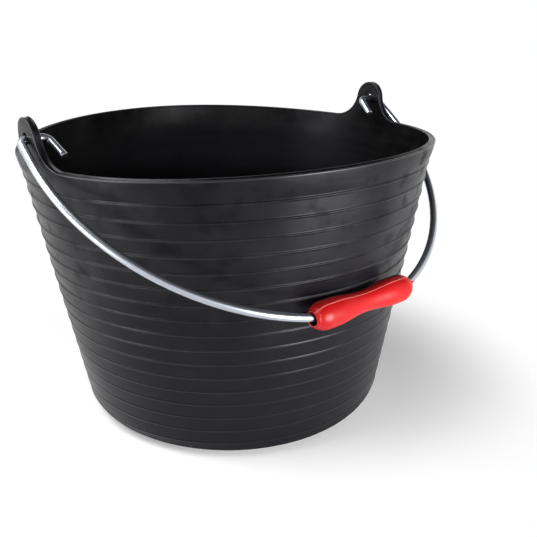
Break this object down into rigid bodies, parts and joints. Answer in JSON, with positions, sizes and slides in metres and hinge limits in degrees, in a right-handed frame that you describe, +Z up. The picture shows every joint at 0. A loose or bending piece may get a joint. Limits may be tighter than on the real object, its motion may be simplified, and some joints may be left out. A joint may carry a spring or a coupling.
{
  "type": "bucket",
  "caption": "Ribbed plastic builder's bucket, a tapered black tub with raised ears, a swinging steel wire bail and a loose plastic hand grip.",
  "frame": {"origin": "centre of the flat foot, on the surface that the bucket stands on", "axes": "+Z up along the bucket's axis, X through the two ear holes, and the bail hangs down on the -Y side"},
  "size_m": [0.352, 0.3325, 0.2544],
  "materials": {
    "body_plastic": "black moulded plastic, satin, slightly rubbery",
    "wire_steel": "bright zinc-plated drawn wire",
    "grip_plastic": "red moulded plastic, satin gloss"
  },
  "bodies": {
    "bucket": {"bucket_body": "body_plastic"},
    "bail": {"bail_wire": "wire_steel"},
    "grip": {"handle_grip": "grip_plastic"}
  },
  "joints": [
    {"name": "bail_swing", "type": "hinge", "parent": "bucket", "child": "bail", "pos_m": [0, 0, 0.2403], "axis": [-1, 0, 0], "range_deg": [0, 251]},
    {"name": "grip_spin", "type": "hinge", "parent": "bail", "child": "grip", "pos_m": [0, -0.15731, 0.12809], "axis": [1, 0, 0], "continuous": true}
  ]
}
